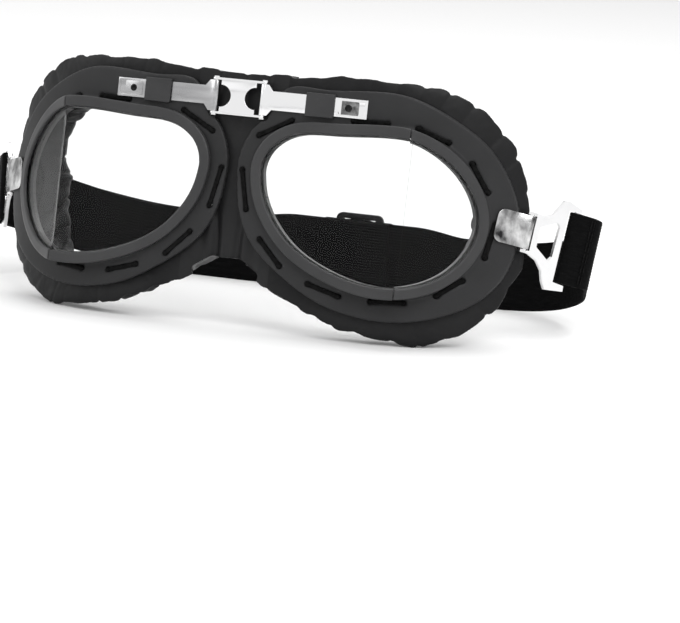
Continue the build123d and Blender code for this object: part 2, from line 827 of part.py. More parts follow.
with BuildPart() as strap_sewn_loop:
    with BuildSketch(hook_path):
        with Locations((loop_centre, 0)):
            Circle(loop_outer)
        with BuildLine():
            Polyline(
                (loop_centre, loop_outer), (loop_end, loop_outer),
                (loop_end, loop_inner - webbing_thickness),
                (sewn_start, loop_inner - webbing_thickness), (hook_clear, -loop_outer),
                (loop_centre, -loop_outer), close=True,
            )
        make_face()
        with Locations((loop_centre, 0)):
            Circle(loop_inner, mode=Mode.SUBTRACT)
        with BuildLine():
            Polyline(
                (loop_centre, loop_inner), (sewn_start, loop_inner), (hook_clear, -loop_inner),
                (loop_centre, -loop_inner), close=True,
            )
        make_face(mode=Mode.SUBTRACT)
    extrude(amount=webbing_width / 2, both=True)
save("strap_sewn_loop_left", strap_sewn_loop.part)

# Sewing: dashes of thread across the end of the sewn loop
with BuildPart() as strap_sewing:
    with BuildSketch(clip.offset(loop_outer)):
        with Locations(((sewn_start + loop_end) / 2, -strap_on_hook)):
            with GridLocations(
                (loop_end - sewn_start) / sewing_rows, sewing_pitch, sewing_rows, sewing_columns
            ):
                Rectangle(sewing_thread, sewing_length)
    extrude(amount=sewing_proud)
save("strap_sewing_left", strap_sewing.part)

# Webbing from the clips round to the straight back stretch, turning upright on the way
strap_middle = webbing_width / 2
back_end = Vector(strap_straight_end, strap_back_y, strap_middle)


def webbing_curl(level, finish, shares):
    """Webbing from a level on the clip to the end of a straight stretch."""
    start = clip.from_local_coords((loop_end, -strap_on_hook, level))
    span = start - finish
    points = [finish + Vector(span.X * x, span.Y * y, span.Z * z) for x, y, z in shares]
    path = Spline(
        start, *points, finish, tangents=(clip.x_dir, (-1, 0, 0)), tangent_scalars=(1, 1)
    )
    with BuildPart() as webbing:
        for step in range(curl_steps + 1):
            share = step / curl_steps
            heading = path.tangent_at(share)
            raised = clip.y_dir * (1 - share) + Vector(0, 0, share)
            raised = raised - heading * raised.dot(heading)
            with BuildSketch(Plane(origin=path.position_at(share), x_dir=raised, z_dir=heading)):
                Rectangle(webbing_width, webbing_thickness)
        loft(ruled=True)
    return webbing.part


save_pair("strap_curl", webbing_curl(loop_half, back_end, curl_shares))
layer_gap = webbing_thickness + webbing_gap
with BuildPart() as strap_inner_curl_right:
    inner_curl = webbing_curl(-loop_half, back_end - Vector(0, layer_gap, 0), inner_curl_shares)
    mirror(inner_curl, about=mirror_plane)
save("strap_inner_curl_right", strap_inner_curl_right.part)

# The straight back stretch, its lower edge lifted where it runs behind the slider
lift_ends = [
    slider_x - strap_lift_start - strap_lift_run, slider_x - strap_lift_start,
    slider_x + strap_lift_start, slider_x + strap_lift_start + strap_lift_run,
]
with BuildSketch(Plane.XZ) as strap_side:
    with BuildLine():
        for level in (0, webbing_width):
            Line((-strap_straight_end, level), (lift_ends[0], level))
            Spline(
                (lift_ends[0], level), (lift_ends[1], level + strap_lift),
                tangents=((1, 0), (1, 0)),
            )
            Line((lift_ends[1], level + strap_lift), (lift_ends[2], level + strap_lift))
            Spline(
                (lift_ends[2], level + strap_lift), (lift_ends[3], level),
                tangents=((1, 0), (1, 0)),
            )
            Line((lift_ends[3], level), (strap_straight_end, level))
        for end in (-strap_straight_end, strap_straight_end):
            Line((end, 0), (end, webbing_width))
    make_face()
with BuildPart() as strap_running:
    with BuildSketch(Plane.XZ.offset(-strap_back_y)):
        add(strap_side.sketch)
    extrude(amount=half_thick, both=True)
save("strap_running", strap_running.part)

with BuildPart() as strap_inner_run:
    with BuildSketch(Plane.XZ.offset(layer_gap - strap_back_y)):
        add(strap_side.sketch)
        with Locations((slider_x + wrap_tail, 0)):
            Rectangle(
                4 * strap_straight_end, 4 * webbing_width, align=(Align.MIN, Align.CENTER),
                mode=Mode.SUBTRACT,
            )
    extrude(amount=half_thick, both=True)
save("strap_inner_run", strap_inner_run.part)

# Slider: a moulded plate with three upright bars, and the webbing over its middle bar
slider_front = strap_back_y + half_thick + webbing_gap / 2 + webbing_thickness + webbing_gap
window = (slider_length - 3 * slider_bar) / 2
with BuildPart() as slider:
    with BuildSketch(Plane.XZ.offset(-slider_front)):
        with Locations((slider_x, slider_height / 2)):
            RectangleRounded(slider_length, slider_height, slider_corner)
            with GridLocations(slider_bar + window, 0, 2, 1):
                Rectangle(window, slider_height - 2 * slider_rail, mode=Mode.SUBTRACT)
    extrude(amount=-slider_thickness)
save("slider", slider.part)

wrap_y = strap_back_y + webbing_thickness + webbing_gap / 2
wrap_half = [
    (wrap_shoulder, wrap_y + wrap_rise), (wrap_foot, wrap_y), (wrap_tail, wrap_y),
]
with BuildPart() as slider_wrap:
    with BuildSketch(Plane.XY.offset(strap_lift)):
        with BuildLine():
            Polyline(
                *[(slider_x - x, y) for x, y in reversed(wrap_half)],
                *[(slider_x + x, y) for x, y in wrap_half],
            )
            offset(amount=half_thick, side=Side.BOTH)
        make_face()
    extrude(amount=webbing_width)
save("slider_wrap", slider_wrap.part)
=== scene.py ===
import math
import bmesh
import bpy
import numpy as np
from mathutils import Matrix, Vector, noise


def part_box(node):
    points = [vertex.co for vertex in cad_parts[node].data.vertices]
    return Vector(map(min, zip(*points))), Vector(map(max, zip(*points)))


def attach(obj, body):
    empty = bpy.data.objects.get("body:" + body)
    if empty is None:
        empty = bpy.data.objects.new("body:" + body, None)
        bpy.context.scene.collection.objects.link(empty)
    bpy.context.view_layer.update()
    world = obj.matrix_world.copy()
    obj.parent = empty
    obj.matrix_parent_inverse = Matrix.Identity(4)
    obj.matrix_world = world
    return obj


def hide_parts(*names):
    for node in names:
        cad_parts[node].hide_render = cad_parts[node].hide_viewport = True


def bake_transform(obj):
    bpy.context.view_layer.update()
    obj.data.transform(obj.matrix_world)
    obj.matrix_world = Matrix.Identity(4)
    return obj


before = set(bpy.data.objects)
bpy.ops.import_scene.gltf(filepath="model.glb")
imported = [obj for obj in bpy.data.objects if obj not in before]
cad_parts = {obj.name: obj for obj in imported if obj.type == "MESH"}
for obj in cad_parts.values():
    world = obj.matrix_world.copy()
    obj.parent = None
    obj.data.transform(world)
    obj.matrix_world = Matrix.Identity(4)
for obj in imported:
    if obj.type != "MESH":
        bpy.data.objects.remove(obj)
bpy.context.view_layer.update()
print("frame loaded:", len(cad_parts), "nodes")

mm = 0.001
sides = (("left", 1), ("right", -1))

# where the camera stands: its place, and its right, up and back as rows
cameraLook = {
    "place": (0.47619, -1.17220, 0.20965),
    "right": (0.92820, 0.36784, 0.05603),
    "up": (-0.11167, 0.13175, 0.98497),
    "back": (0.35493, -0.92051, 0.16336),
    "lens": 184.23,
    "sensor": 36,
    "near": 0.05,
    "far": 20,
}


def placeCamera(look):
    data = bpy.data.cameras.new("camera")
    data.lens = look["lens"]
    data.sensor_width = look["sensor"]
    data.sensor_fit = "HORIZONTAL"
    data.clip_start = look["near"]
    data.clip_end = look["far"]
    camera = bpy.data.objects.new("camera", data)
    turn = Matrix((look["right"], look["up"], look["back"])).transposed().to_4x4()
    camera.matrix_world = Matrix.Translation(look["place"]) @ turn
    bpy.context.scene.collection.objects.link(camera)
    bpy.context.scene.camera = camera


placeCamera(cameraLook)
bpy.context.scene.view_settings.view_transform = "Standard"

studio = {
    "worldLight": 0.62,
    "worldShown": 1.0,
    "floorColour": (0.92, 0.92, 0.92, 1),
    "floorRoughness": 0.9,
    "floorSheen": 0.1,
    "floorGlow": 0.08,
    "floorSize": 6.0,
    "aim": (0, 0, 0.04),
    "lamps": [
        {"name": "keyLamp", "at": (1.1, -1.1, 1.5), "size": 1.2, "power": 20},
        {"name": "sideLamp", "at": (-1.5, -0.8, 1.0), "size": 1.0, "power": 6},
        {"name": "topLamp", "at": (0.1, 0.5, 1.7), "size": 1.4, "power": 13},
    ],
}


def newPiece(name, shape):
    mesh = bpy.data.meshes.new(name)
    shape.to_mesh(mesh)
    shape.free()
    piece = bpy.data.objects.new(name, mesh)
    bpy.context.scene.collection.objects.link(piece)
    return piece


# the world is seen white, directly and in reflections, but lights the object less
def buildStudio(look):
    world = bpy.data.worlds.new("studio")
    bpy.context.scene.world = world
    world.use_nodes = True
    nodes, links = world.node_tree.nodes, world.node_tree.links
    background = nodes["Background"]
    background.inputs["Color"].default_value = (1, 1, 1, 1)
    path = nodes.new("ShaderNodeLightPath")
    seen = path.outputs["Is Camera Ray"]
    for ray in ("Is Glossy Ray", "Is Transmission Ray"):
        either = nodes.new("ShaderNodeMath")
        either.operation = "MAXIMUM"
        links.new(seen, either.inputs[0])
        links.new(path.outputs[ray], either.inputs[1])
        seen = either.outputs[0]
    strength = nodes.new("ShaderNodeMapRange")
    strength.inputs["To Min"].default_value = look["worldLight"]
    strength.inputs["To Max"].default_value = look["worldShown"]
    links.new(seen, strength.inputs["Value"])
    links.new(strength.outputs["Result"], background.inputs["Strength"])
    for lamp in look["lamps"]:
        light = bpy.data.lights.new(lamp["name"], "AREA")
        light.size = lamp["size"]
        light.energy = lamp["power"]
        holder = bpy.data.objects.new(lamp["name"], light)
        holder.location = lamp["at"]
        aim = Vector(look["aim"]) - Vector(lamp["at"])
        holder.rotation_euler = aim.to_track_quat("-Z", "Y").to_euler()
        bpy.context.scene.collection.objects.link(holder)
    plate = bmesh.new()
    bmesh.ops.create_grid(plate, x_segments=1, y_segments=1, size=look["floorSize"])
    floor = newPiece("floor", plate)
    floorPaint = bpy.data.materials.new("floorPaint")
    floorPaint.use_nodes = True
    nodes, links = floorPaint.node_tree.nodes, floorPaint.node_tree.links
    shader = nodes["Principled BSDF"]
    shader.inputs["Base Color"].default_value = look["floorColour"]
    shader.inputs["Roughness"].default_value = look["floorRoughness"]
    shader.inputs["Specular IOR Level"].default_value = look["floorSheen"]
    shader.inputs["Emission Color"].default_value = (1, 1, 1, 1)
    path = nodes.new("ShaderNodeLightPath")
    glow = nodes.new("ShaderNodeMath")  # the floor glows to the camera only
    glow.operation = "MULTIPLY"
    glow.inputs[1].default_value = look["floorGlow"]
    links.new(path.outputs["Is Camera Ray"], glow.inputs[0])
    links.new(glow.outputs[0], shader.inputs["Emission Strength"])
    floor.data.materials.append(floorPaint)


buildStudio(studio)
print("camera and studio placed")

noiseSpan = (0.3, 0.7)  # nearly all values of a noise lie between these
noiseDetail = {"tone": 6, "rough": 4, "bumps": 5}


def placeTexture(nodes, links, spot, look, texture):
    mapping = nodes.new("ShaderNodeMapping")
    mapping.inputs["Scale"].default_value = look.get("stretch", (1, 1, 1))
    links.new(spot, mapping.inputs["Vector"])
    links.new(mapping.outputs["Vector"], texture.inputs["Vector"])
    texture.inputs["Scale"].default_value = look["scale"]


def addNoise(nodes, links, spot, look, detail):
    texture = nodes.new("ShaderNodeTexNoise")
    texture.inputs["Detail"].default_value = detail
    placeTexture(nodes, links, spot, look, texture)
    return texture.outputs["Fac"]


def addCells(nodes, links, spot, look):
    texture = nodes.new("ShaderNodeTexVoronoi")
    texture.feature = "DISTANCE_TO_EDGE"
    placeTexture(nodes, links, spot, look, texture)
    return texture.outputs["Distance"]


# shader: plain socket values; tone: noise between two colours; rough: noise between two
# roughness values; bumps: noise or cells, each with size in 1/m, strength and depth
def makeMaterial(name, look):
    material = bpy.data.materials.new(name)
    material.use_nodes = True
    nodes, links = material.node_tree.nodes, material.node_tree.links
    shader = nodes["Principled BSDF"]
    for socket, value in look["shader"].items():
        shader.inputs[socket].default_value = value
    spot = nodes.new("ShaderNodeTexCoord").outputs["UV" if look.get("onUv") else "Object"]
    if "tone" in look:
        tone = look["tone"]
        ramp = nodes.new("ShaderNodeValToRGB")
        stops = ramp.color_ramp.elements
        stops[0].position, stops[1].position = noiseSpan
        stops[0].color, stops[1].color = tone["dark"], tone["light"]
        links.new(addNoise(nodes, links, spot, tone, noiseDetail["tone"]), ramp.inputs["Fac"])
        links.new(ramp.outputs["Color"], shader.inputs["Base Color"])
    if "rough" in look:
        rough = look["rough"]
        span = nodes.new("ShaderNodeMapRange")
        span.inputs["From Min"].default_value, span.inputs["From Max"].default_value = noiseSpan
        span.inputs["To Min"].default_value = rough["low"]
        span.inputs["To Max"].default_value = rough["high"]
        links.new(addNoise(nodes, links, spot, rough, noiseDetail["rough"]), span.inputs["Value"])
        links.new(span.outputs["Result"], shader.inputs["Roughness"])
    before = None
    for layer in look.get("bumps", []):
        if layer["kind"] == "cells":
            height = addCells(nodes, links, spot, layer)
        else:
            height = addNoise(nodes, links, spot, layer, noiseDetail["bumps"])
        bump = nodes.new("ShaderNodeBump")
        bump.inputs["Strength"].default_value = layer["strength"]
        bump.inputs["Distance"].default_value = layer["depth"]
        links.new(height, bump.inputs["Height"])
        if before:
            links.new(before.outputs["Normal"], bump.inputs["Normal"])
        before = bump
    if before:
        links.new(before.outputs["Normal"], shader.inputs["Normal"])
    return material


finishes = {
    "flangeRubber": {
        "shader": {"Specular IOR Level": 0.16},
        "tone": {"scale": 40, "dark": (0.023, 0.023, 0.0235, 1), "light": (0.031, 0.031, 0.032, 1)},
        "rough": {"scale": 90, "low": 0.38, "high": 0.5},
        "bumps": [{"kind": "noise", "scale": 2600, "strength": 0.14, "depth": 0.0001},
                  {"kind": "noise", "scale": 160, "strength": 0.10, "depth": 0.0004}],
    },
    "rimRubber": {
        "shader": {"Specular IOR Level": 0.26},
        "tone": {"scale": 55, "dark": (0.034, 0.034, 0.035, 1), "light": (0.046, 0.046, 0.047, 1)},
        "rough": {"scale": 120, "low": 0.3, "high": 0.42},
        "bumps": [{"kind": "noise", "scale": 2200, "strength": 0.10, "depth": 0.0001}],
    },
    "gasketRubber": {
        "shader": {"Base Color": (0.07, 0.07, 0.07, 1), "Specular IOR Level": 0.4},
        "rough": {"scale": 200, "low": 0.25, "high": 0.4},
        "bumps": [{"kind": "noise", "scale": 900, "strength": 0.08, "depth": 0.0001}],
    },
    "lensClear": {
        "shader": {"Base Color": (0.985, 0.99, 0.988, 1), "Transmission Weight": 1.0, "IOR": 1.14,
                   "Roughness": 0.0},
    },
    "thread": {
        "shader": {"Specular IOR Level": 0.05},
        "tone": {"scale": 900, "dark": (0.002, 0.002, 0.002, 1), "light": (0.009, 0.009, 0.009, 1)},
        "rough": {"scale": 700, "low": 0.6, "high": 0.8},
        "bumps": [{"kind": "noise", "scale": 1600, "strength": 0.6, "depth": 0.0003}],
    },
    "brightMetal": {
        "shader": {"Base Color": (0.83, 0.83, 0.835, 1), "Metallic": 1.0},
        "rough": {"scale": 160, "low": 0.08, "high": 0.2},
        "bumps": [{"kind": "noise", "scale": 260, "strength": 0.06, "depth": 0.0002},
                  {"kind": "noise", "scale": 900, "stretch": (0.1, 1, 1), "strength": 0.05,
                   "depth": 0.0001}],
    },
    # the side tab's base colour runs between near black and near white by noise: painted
    # reflections of its dark and bright surroundings
    "tabMetal": {
        "shader": {"Metallic": 1.0},
        "tone": {"scale": 190, "stretch": (1, 1, 0.7), "dark": (0.02, 0.02, 0.021, 1),
                 "light": (0.85, 0.85, 0.85, 1)},
        "rough": {"scale": 160, "low": 0.1, "high": 0.25},
        "bumps": [{"kind": "noise", "scale": 500, "strength": 0.15, "depth": 0.0003}],
    },
    # stretched streaks are the brushing; the base colour, darker than the bright metal and used on
    # one side's arm and end panel only, is painted shade
    "brushedMetalPaintedShade": {
        "shader": {"Metallic": 1.0},
        "tone": {"scale": 260, "stretch": (0.12, 1, 1), "dark": (0.30, 0.30, 0.305, 1),
                 "light": (0.52, 0.52, 0.525, 1)},
        "rough": {"scale": 160, "low": 0.18, "high": 0.3},
        "bumps": [{"kind": "noise", "scale": 900, "stretch": (0.1, 1, 1), "strength": 0.1,
                   "depth": 0.0001}],
    },
    # a dark metal for the +X end panel: its low base colour is painted dark reflection, not wear
    "darkPaintedReflectionMetal": {
        "shader": {"Metallic": 1.0},
        "tone": {"scale": 700, "dark": (0.07, 0.07, 0.07, 1), "light": (0.26, 0.26, 0.26, 1)},
        "rough": {"scale": 800, "low": 0.25, "high": 0.45},
        "bumps": [{"kind": "noise", "scale": 1200, "strength": 0.2, "depth": 0.0002}],
    },
    "rivetMetal": {
        "shader": {"Metallic": 1.0},
        "tone": {"scale": 900, "dark": (0.008, 0.008, 0.008, 1), "light": (0.03, 0.03, 0.03, 1)},
        "rough": {"scale": 800, "low": 0.15, "high": 0.3},
    },
    "sleeveRubber": {
        "shader": {"Specular IOR Level": 0.3},
        "tone": {"scale": 120, "dark": (0.024, 0.024, 0.025, 1), "light": (0.034, 0.034, 0.035, 1)},
        "rough": {"scale": 150, "low": 0.4, "high": 0.52},
        "bumps": [{"kind": "noise", "scale": 2400, "strength": 0.12, "depth": 0.0001}],
    },
    "padLeather": {
        "shader": {"Specular IOR Level": 0.16},
        "tone": {"scale": 60, "dark": (0.008, 0.008, 0.0085, 1),
                 "light": (0.014, 0.014, 0.0145, 1)},
        "rough": {"scale": 130, "low": 0.36, "high": 0.52},
        "bumps": [{"kind": "cells", "scale": 1500, "strength": 0.07, "depth": 0.0002},
                  {"kind": "noise", "scale": 420, "strength": 0.22, "depth": 0.0004}],
    },
    "noseLeather": {
        "shader": {"Specular IOR Level": 0.18},
        "tone": {"scale": 50, "dark": (0.010, 0.010, 0.0105, 1),
                 "light": (0.017, 0.017, 0.0175, 1)},
        "rough": {"scale": 110, "low": 0.34, "high": 0.48},
        "bumps": [{"kind": "cells", "scale": 1400, "strength": 0.07, "depth": 0.0002},
                  {"kind": "noise", "scale": 300, "strength": 0.2, "depth": 0.0004}],
    },
    "strapWeave": {
        "onUv": True,
        "shader": {"Specular IOR Level": 0.03},
        "tone": {"scale": 900, "stretch": (0.25, 1, 1), "dark": (0.0028, 0.0028, 0.0029, 1),
                 "light": (0.005, 0.005, 0.0052, 1)},
        "rough": {"scale": 600, "low": 0.6, "high": 0.8},
    },
    "sliderPlastic": {
        "shader": {"Specular IOR Level": 0.25},
        "tone": {"scale": 200, "dark": (0.005, 0.005, 0.0055, 1),
                 "light": (0.009, 0.009, 0.010, 1)},
        "rough": {"scale": 240, "low": 0.22, "high": 0.38},
        "bumps": [{"kind": "noise", "scale": 1500, "strength": 0.08, "depth": 0.0001}],
    },
}
materials = {name: makeMaterial(name, look) for name, look in finishes.items()}
print("materials made:", len(materials))


def paint(piece, finish):
    piece.data.materials.clear()
    piece.data.materials.append(materials[finish])


weld = 0.002 * mm  # points of a CAD mesh that are closer become one


def nodeShape(node):
    shape = bmesh.new()
    shape.from_mesh(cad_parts[node].data)
    bmesh.ops.remove_doubles(shape, verts=shape.verts, dist=weld)
    return shape


# adds the faces of one shape to another and frees the first
def addShape(shape, other):
    mesh = bpy.data.meshes.new("added")
    other.to_mesh(mesh)
    other.free()
    shape.from_mesh(mesh)
    bpy.data.meshes.remove(mesh)


def dissolveFlat(shape, angle):
    bmesh.ops.dissolve_limit(
        shape, angle_limit=math.radians(angle), verts=shape.verts, edges=shape.edges,
        use_dissolve_boundaries=False,
    )


def roundEdges(shape, edges, offset, segments, clamped=True):
    bmesh.ops.bevel(
        shape, geom=edges, offset=offset, offset_type="OFFSET", segments=segments, profile=0.5,
        affect="EDGES", clamp_overlap=clamped, material=-1,
    )


def addRemesh(piece, voxel):
    remesh = piece.modifiers.new("remesh", "REMESH")
    remesh.mode = "VOXEL"
    remesh.voxel_size = voxel


def addSmooth(piece, rounds):
    smooth = piece.modifiers.new("smooth", "SMOOTH")
    smooth.factor = 0.5
    smooth.iterations = rounds


def addDisplace(piece, distance):
    displace = piece.modifiers.new("displace", "DISPLACE")
    displace.mid_level = 0
    displace.strength = distance


def addWall(piece, thickness, offset):
    wall = piece.modifiers.new("wall", "SOLIDIFY")
    wall.thickness = thickness
    wall.offset = offset


def applyModifiers(piece):
    bpy.context.view_layer.update()
    seen = piece.evaluated_get(bpy.context.evaluated_depsgraph_get())
    done = bpy.data.meshes.new_from_object(seen)
    piece.modifiers.clear()
    piece.data = done


def shade(piece, corner=None):
    piece.data.shade_smooth()
    if corner:
        piece.data.set_sharp_from_angle(angle=math.radians(corner))


def softCopy(node, name, voxel, smoothing):
    piece = newPiece(name, nodeShape(node))
    addRemesh(piece, voxel)
    addSmooth(piece, smoothing)
    applyModifiers(piece)
    shade(piece)
    return piece


crisp = {"flat": 0.6, "corner": 35, "segments": 2, "sliver": 0.004 * mm, "shading": 40}


# a CAD mesh with clean flats, rounded corners and no slivers
def crispCopy(node, name, bevel):
    shape = nodeShape(node)
    dissolveFlat(shape, crisp["flat"])
    corner = math.radians(crisp["corner"])
    sharp = [e for e in shape.edges if e.is_manifold and e.calc_face_angle(0) > corner]
    roundEdges(shape, sharp, bevel, crisp["segments"])
    bmesh.ops.dissolve_degenerate(shape, dist=crisp["sliver"], edges=shape.edges)
    piece = newPiece(name, shape)
    shade(piece, crisp["shading"])
    return piece


def seat(piece, node, body, finish):
    paint(piece, finish)
    if node:
        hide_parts(node)
    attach(piece, body)


moulded = {
    "eyecup": {"voxel": 0.55 * mm, "smoothing": 2, "finish": "flangeRubber",
               "slot": "flange_rubber"},
    "rim_front": {"voxel": 0.36 * mm, "smoothing": 2, "finish": "rimRubber", "slot": "rim_rubber"},
    "rim_side": {"voxel": 0.36 * mm, "smoothing": 2, "finish": "rimRubber", "slot": "rim_rubber"},
    "arm_sleeve": {"voxel": 0.22 * mm, "smoothing": 3, "finish": "sleeveRubber",
                   "slot": "sleeve_rubber"},
}
for side, _ in sides:
    for node, look in moulded.items():
        piece = softCopy(f"{node}_{side}", f"{node}Shown_{side}", look["voxel"], look["smoothing"])
        seat(piece, f"{node}_{side}", f"{side}_cup", look["finish"])

stitches = {
    "knot": 1.0 * mm,
    "knotIn": 0.375 * mm,
    "endSpan": 1.2,  # the end of a thread that a knot is centred on, in knots
    "ballSteps": 3,
    "voxel": 0.24 * mm,
    "smoothing": 2,
}


def looseShells(shape):
    left, shells = set(shape.verts), []
    while left:
        start = left.pop()
        shell, queue = [start], [start]
        while queue:
            for edge in queue.pop().link_edges:
                for vert in edge.verts:
                    if vert in left:
                        left.discard(vert)
                        shell.append(vert)
                        queue.append(vert)
        shells.append(np.array([tuple(vert.co) for vert in shell]))
    return shells


# the middle of some points and the direction in which they reach furthest
def middleAndAxis(spots):
    middle = spots.mean(axis=0)
    return middle, np.linalg.svd(spots - middle, full_matrices=False)[2][0]


# each thread gets a round knot where it goes down into its hole
def buildStitches(side, look):
    shape = nodeShape(f"flange_stitches_{side}")
    for spots in looseShells(shape):
        middle, way = middleAndAxis(spots)
        along = (spots - middle) @ way
        for end in (along.min(), along.max()):
            ring = spots[abs(along - end) < look["endSpan"] * look["knot"]]
            place = ring.mean(axis=0) - way * math.copysign(look["knotIn"], end)
            bmesh.ops.create_icosphere(
                shape, subdivisions=look["ballSteps"], radius=look["knot"],
                matrix=Matrix.Translation(place),
            )
    piece = newPiece(f"flangeStitchesShown_{side}", shape)
    addRemesh(piece, look["voxel"])
    addSmooth(piece, look["smoothing"])
    applyModifiers(piece)
    shade(piece)
    seat(piece, f"flange_stitches_{side}", f"{side}_cup", "thread")


for side, _ in sides:
    buildStitches(side, stitches)
print("moulded pieces and stitches made")

metal = {
    "bridge_link": {"bevel": 0.12 * mm, "body": "bridge"},
    "bridge_arm": {"bevel": 0.1 * mm, "body": "cup"},
    # the side tab's colour carries painted reflections
    "side_tab": {"bevel": 0.12 * mm, "body": "cup", "finish": "tabMetal"},
    "strap_clip": {"bevel": 0.3 * mm, "body": "clip"},
}
for node, look in metal.items():
    if look["body"] == "bridge":
        piece = crispCopy(node, f"{node}Shown", look["bevel"])
        seat(piece, node, "bridge", "brightMetal")
        continue
    for side, _ in sides:
        piece = crispCopy(f"{node}_{side}", f"{node}Shown_{side}", look["bevel"])
        finish = look.get("finish", "brightMetal")
        seat(piece, f"{node}_{side}", f"{side}_{look['body']}", finish)
# the right arm is painted darker than its mirror twin: painted shade on the same metal
paint(bpy.data.objects["bridge_armShown_right"], "brushedMetalPaintedShade")

panel = {
    "long": 7.4 * mm,
    "wide": 5.0 * mm,
    "rise": 0.12 * mm,
    "corner": 0.7 * mm,
    "cornerSteps": 4,
    "edge": 0.1 * mm,
    "edgeSteps": 2,
    "aside": 3 * mm,
    "above": 10 * mm,
}


# the raised panel on each arm's end plate, under the rivet's head; its level is probed from
# above the plate, beside the rivet
def buildPanel(side, sign, look):
    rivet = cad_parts[f"bridge_rivet_{side}"]
    middle, axis = middleAndAxis(np.array([tuple(vert.co) for vert in rivet.data.vertices]))
    axis = Vector(axis)
    out = axis if axis.y < 0 else -axis
    arm = bpy.data.objects[f"bridge_armShown_{side}"]
    bpy.context.view_layer.update()
    along = (Vector((1, 0, 0)) - out * out.x).normalized()
    probe = Vector(middle) + along * look["aside"] + out * look["above"]
    hit, spot, _, _ = arm.ray_cast(probe, -out)
    place = spot - along * look["aside"] if hit else Vector(middle)
    turn = Matrix((along, out.cross(along), out)).transposed().to_4x4()
    shape = bmesh.new()
    bmesh.ops.create_cube(shape, size=1)
    bmesh.ops.scale(shape, verts=shape.verts, vec=(look["long"], look["wide"], 2 * look["rise"]))
    posts = [e for e in shape.edges if abs(e.verts[0].co.z - e.verts[1].co.z) > look["rise"]]
    roundEdges(shape, posts, look["corner"], look["cornerSteps"])
    top = [e for e in shape.edges if all(v.co.z > 0 for v in e.verts)]
    roundEdges(shape, top, look["edge"], look["edgeSteps"])
    bmesh.ops.transform(shape, matrix=Matrix.Translation(place) @ turn, verts=shape.verts)
    piece = newPiece(f"endPanel_{side}", shape)
    shade(piece, crisp["shading"])
    # the +X end panel is painted dark and the other one mid grey: painted reflection and shade on
    # one metal
    seat(piece, None, f"{side}_cup", "darkPaintedReflectionMetal" if sign > 0 else "brushedMetalPaintedShade")


for side, sign in sides:
    buildPanel(side, sign, panel)
for side, _ in sides:
    paint(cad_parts[f"bridge_pin_{side}"], "brightMetal")
    paint(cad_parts[f"bridge_rivet_{side}"], "rivetMetal")
    paint(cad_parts[f"lens_gasket_{side}"], "gasketRubber")
paint(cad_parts["strap_sewing_left"], "thread")
print("metal pieces made")

lens = {
    "thick": 1.0 * mm,
    "seam": 0.5 * mm,
    "bend": 2.2 * mm,
    "bendSteps": 6,
    "bendFrom": 0.3,  # edges that turn by more, in radians, are the bend
    "forward": -0.2,
    "sameWay": 0.97,
    "flat": 0.5,
    "shading": 25,
}


# the outward face of one pane, as an open sheet
def paneFace(node, look):
    pane = nodeShape(node)
    facing = (f.normal * f.calc_area() for f in pane.faces if f.normal.y < look["forward"])
    outward = sum(facing, Vector()).normalized()
    others = [f for f in pane.faces if f.normal.dot(outward) < look["sameWay"]]
    bmesh.ops.delete(pane, geom=others, context="FACES")
    bmesh.ops.delete(pane, geom=[v for v in pane.verts if not v.link_faces], context="VERTS")
    dissolveFlat(pane, look["flat"])
    return pane


# the outward faces of both panes joined to one sheet that turns softly at the bend
def buildLens(side, sign, look):
    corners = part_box(f"side_pane_{side}")
    bendAt = corners[0][0] if sign > 0 else corners[1][0]
    shape = bmesh.new()
    for node in (f"front_pane_{side}", f"side_pane_{side}"):
        addShape(shape, paneFace(node, look))
    atSeam = [v for v in shape.verts if abs(v.co.x - bendAt) < look["seam"]]
    bmesh.ops.remove_doubles(shape, verts=atSeam, dist=look["seam"])
    inner = [e for e in shape.edges if len(e.link_faces) == 2]
    seams = [e for e in inner if e.calc_face_angle(0) > look["bendFrom"]]
    roundEdges(shape, seams, look["bend"], look["bendSteps"], clamped=False)
    piece = newPiece(f"lensShown_{side}", shape)
    addWall(piece, look["thick"], -1)
    applyModifiers(piece)
    shade(piece, look["shading"])
    paint(piece, "lensClear")
    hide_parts(f"front_pane_{side}", f"side_pane_{side}")
    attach(piece, f"{side}_cup")


for side, sign in sides:
    buildLens(side, sign, lens)
print("lenses made")

leather = {
    "nodes": ("face_cushion_left", "face_cushion_right", "nose_saddle", "nose_panel"),
    "swell": 0.8 * mm,
    "voxel": 0.6 * mm,
    "smoothing": (5, 4),  # before and after it shrinks back
    "spike": 0.4 * mm,
    "calming": 40,
    "grain": 0.08 * mm,
    "grainScale": 420,
    "noseEdge": (11, 18),
    "foot": (0, 12),
    "seam": 17.1 * mm,
    "blendStart": 2.0 * mm,
    "blendEnd": 14.0 * mm,
    "blendY": -47 * mm,
    "blendZ": 56 * mm,
}

